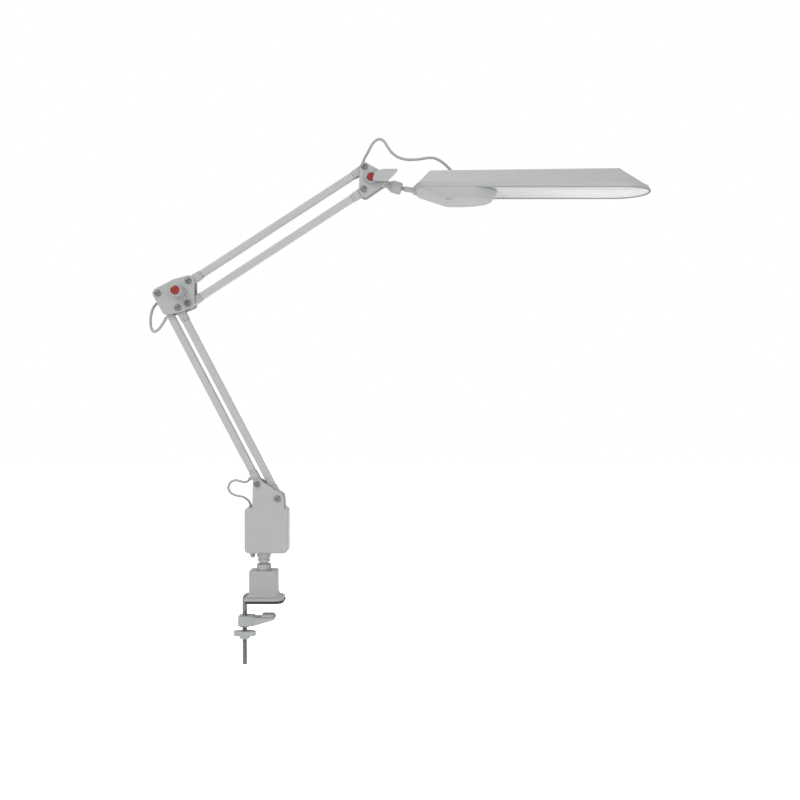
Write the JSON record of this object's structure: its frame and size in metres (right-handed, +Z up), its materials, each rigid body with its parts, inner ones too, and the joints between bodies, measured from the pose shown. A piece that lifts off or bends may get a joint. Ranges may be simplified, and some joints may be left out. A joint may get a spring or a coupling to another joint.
{
  "type": "desk lamp",
  "caption": "Clamp-on desk lamp with two parallelogram arms, a driver box on a swivel spindle, locking knobs and a long flat LED head on a ball neck.",
  "frame": {"origin": "point on the swivel axis at the underside of the table pad", "axes": "+Z up along the swivel axis, +X towards the lamp head in the rest pose, +Y away from the side with the knobs"},
  "size_m": [0.8551, 0.09, 0.8967],
  "materials": {
    "grey_shell": "light grey moulded plastic, satin",
    "grey_casting": "light grey powder coat on a casting",
    "jaw_casting": "grey powder coat on a casting",
    "bar_paint": "light grey powder coat on square steel tube",
    "black_rubber": "matte black rubber",
    "zinc_steel": "bright zinc plate",
    "dark_steel": "dark domed screw heads",
    "red_cap": "glossy red plastic",
    "grey_cable": "light grey PVC sheath",
    "nylon": "light grey moulded nylon",
    "diffuser": "opal white acrylic",
    "circuit_board": "green solder mask",
    "aluminium": "mill finish sheet",
    "transformer": "taped transformer core"
  },
  "bodies": {
    "clamp": {"clamp_base": "grey_casting", "table_pad": "black_rubber", "clamp_rod": "zinc_steel", "socket_bush": "nylon"},
    "jaw": {"lower_jaw": "jaw_casting", "jaw_pad": "nylon", "thrust_washer": "zinc_steel"},
    "wing_nut_body": {"wing_nut": "jaw_casting"},
    "turret": {"spindle": "grey_casting", "box_front_shell": "grey_shell", "box_rear_shell": "grey_shell", "driver_board": "circuit_board", "transformer": "transformer", "mains_gland": "nylon", "base_grommet": "nylon", "base_screw_outer": "dark_steel", "base_screw_inner": "dark_steel", "base_cable": "grey_cable"},
    "lower_outer_arm": {"lower_bar_outer": "bar_paint", "lower_outer_near_end": "nylon", "lower_outer_far_end": "nylon"},
    "lower_inner_arm": {"lower_bar_inner": "bar_paint", "lower_inner_near_end": "nylon", "lower_inner_far_end": "nylon"},
    "elbow": {"elbow_front_plate": "grey_shell", "elbow_rear_plate": "grey_shell", "elbow_screw_lower_outer": "dark_steel", "elbow_screw_lower_inner": "dark_steel", "elbow_screw_upper_top": "dark_steel", "elbow_screw_upper_bottom": "dark_steel", "elbow_bolt": "dark_steel", "elbow_cable": "grey_cable"},
    "elbow_knob_body": {"elbow_knob": "grey_shell", "elbow_knob_cap": "red_cap"},
    "upper_top_arm": {"upper_bar_top": "bar_paint", "upper_top_near_end": "nylon", "upper_top_far_end": "nylon"},
    "upper_bottom_arm": {"upper_bar_bottom": "bar_paint", "upper_bottom_near_end": "nylon", "upper_bottom_far_end": "nylon"},
    "bracket": {"bracket_front_plate": "grey_shell", "bracket_rear_plate": "grey_shell", "bracket_screw_top": "dark_steel", "bracket_screw_bottom": "dark_steel", "bracket_bolt": "dark_steel", "head_cable": "grey_cable"},
    "lever_knob_body": {"lever_knob": "grey_shell", "lever_knob_cap": "red_cap"},
    "knuckle_body": {"knuckle": "grey_shell"},
    "collar_body": {"knurled_collar": "grey_shell"},
    "stud_body": {"ball_stud": "grey_shell"},
    "head": {"head_shell": "grey_shell", "underside_cover": "grey_shell", "head_grommet": "nylon", "diffuser": "diffuser", "led_board": "circuit_board", "heat_spreader": "aluminium", "neck_socket": "nylon"},
    "switch_body": {"switch_button": "nylon"}
  },
  "joints": [
    {"name": "base_swivel", "type": "hinge", "parent": "clamp", "child": "turret", "pos_m": [0, 0, 0], "axis": [0, 0, 1], "continuous": true},
    {"name": "lower_arm_tilt", "type": "hinge", "parent": "turret", "child": "lower_outer_arm", "pos_m": [-0.0088, 0, 0.2002], "axis": [0, 1, 0], "range_deg": [-6, 75], "deforming": ["base_cable"]},
    {"name": "lower_inner_pivot", "type": "hinge", "parent": "turret", "child": "lower_inner_arm", "pos_m": [0.0253, 0, 0.1758], "axis": [0, 1, 0], "range_deg": [-6, 75]},
    {"name": "elbow_pivot", "type": "hinge", "parent": "lower_outer_arm", "child": "elbow", "pos_m": [-0.17754, 0, 0.5216], "axis": [0, 1, 0], "range_deg": [-75, 6], "deforming": ["elbow_cable"]},
    {"name": "elbow_knob_turn", "type": "hinge", "parent": "elbow", "child": "elbow_knob_body", "pos_m": [-0.14114, 0, 0.5235], "axis": [0, -1, 0], "range_deg": [-45, 180]},
    {"name": "upper_arm_tilt", "type": "hinge", "parent": "elbow", "child": "upper_top_arm", "pos_m": [-0.12554, 0, 0.5426], "axis": [0, 1, 0], "range_deg": [-35, 60]},
    {"name": "upper_bottom_pivot", "type": "hinge", "parent": "elbow", "child": "upper_bottom_arm", "pos_m": [-0.12654, 0, 0.5042], "axis": [0, 1, 0], "range_deg": [-35, 60]},
    {"name": "bracket_pivot", "type": "hinge", "parent": "upper_top_arm", "child": "bracket", "pos_m": [0.17088, 0, 0.73539], "axis": [0, 1, 0], "range_deg": [-60, 35]},
    {"name": "lever_knob_turn", "type": "hinge", "parent": "bracket", "child": "lever_knob_body", "pos_m": [0.18228, 0, 0.71599], "axis": [0, -1, 0], "range_deg": [-45, 180]},
    {"name": "head_tilt", "type": "hinge", "parent": "bracket", "child": "knuckle_body", "pos_m": [0.18228, 0, 0.71599], "axis": [0, 1, 0], "range_deg": [-75, 55], "deforming": ["head_cable"]},
    {"name": "collar_turn", "type": "hinge", "parent": "knuckle_body", "child": "collar_body", "pos_m": [0.18228, 0, 0.71599], "axis": [0.9542, 0, -0.299], "range_deg": [-45, 180]},
    {"name": "head_swivel", "type": "hinge", "parent": "knuckle_body", "child": "stud_body", "pos_m": [0.22522, 0, 0.70253], "axis": [0.1564, 0, 0.9877], "range_deg": [-16, 16]},
    {"name": "head_roll", "type": "hinge", "parent": "stud_body", "child": "head", "pos_m": [0.22522, 0, 0.70253], "axis": [0.9877, 0, -0.1564], "range_deg": [-60, 60]},
    {"name": "switch_press", "type": "slide", "parent": "head", "child": "switch_body", "axis": [0, 0, 1], "range_m": [0, 0.0011], "stiffness_N_per_m": 400, "springref_m": -0.001},
    {"name": "jaw_slide", "type": "slide", "parent": "clamp", "child": "jaw", "axis": [0, 0, 1], "range_m": [-0.04, 0.015]},
    {"name": "wing_nut_turn", "type": "hinge", "parent": "jaw", "child": "wing_nut_body", "pos_m": [-0.0327, 0, 0], "axis": [0, 0, 1], "range_deg": [-11520, 4319]}
  ],
  "couplings": [
    {"joint": "lower_inner_pivot", "follows": "lower_arm_tilt", "ratio": 1},
    {"joint": "elbow_pivot", "follows": "lower_arm_tilt", "ratio": -1},
    {"joint": "upper_bottom_pivot", "follows": "upper_arm_tilt", "ratio": 1},
    {"joint": "bracket_pivot", "follows": "upper_arm_tilt", "ratio": -1},
    {"joint": "wing_nut_turn", "follows": "jaw_slide", "rad_per_m": 5026.5}
  ]
}
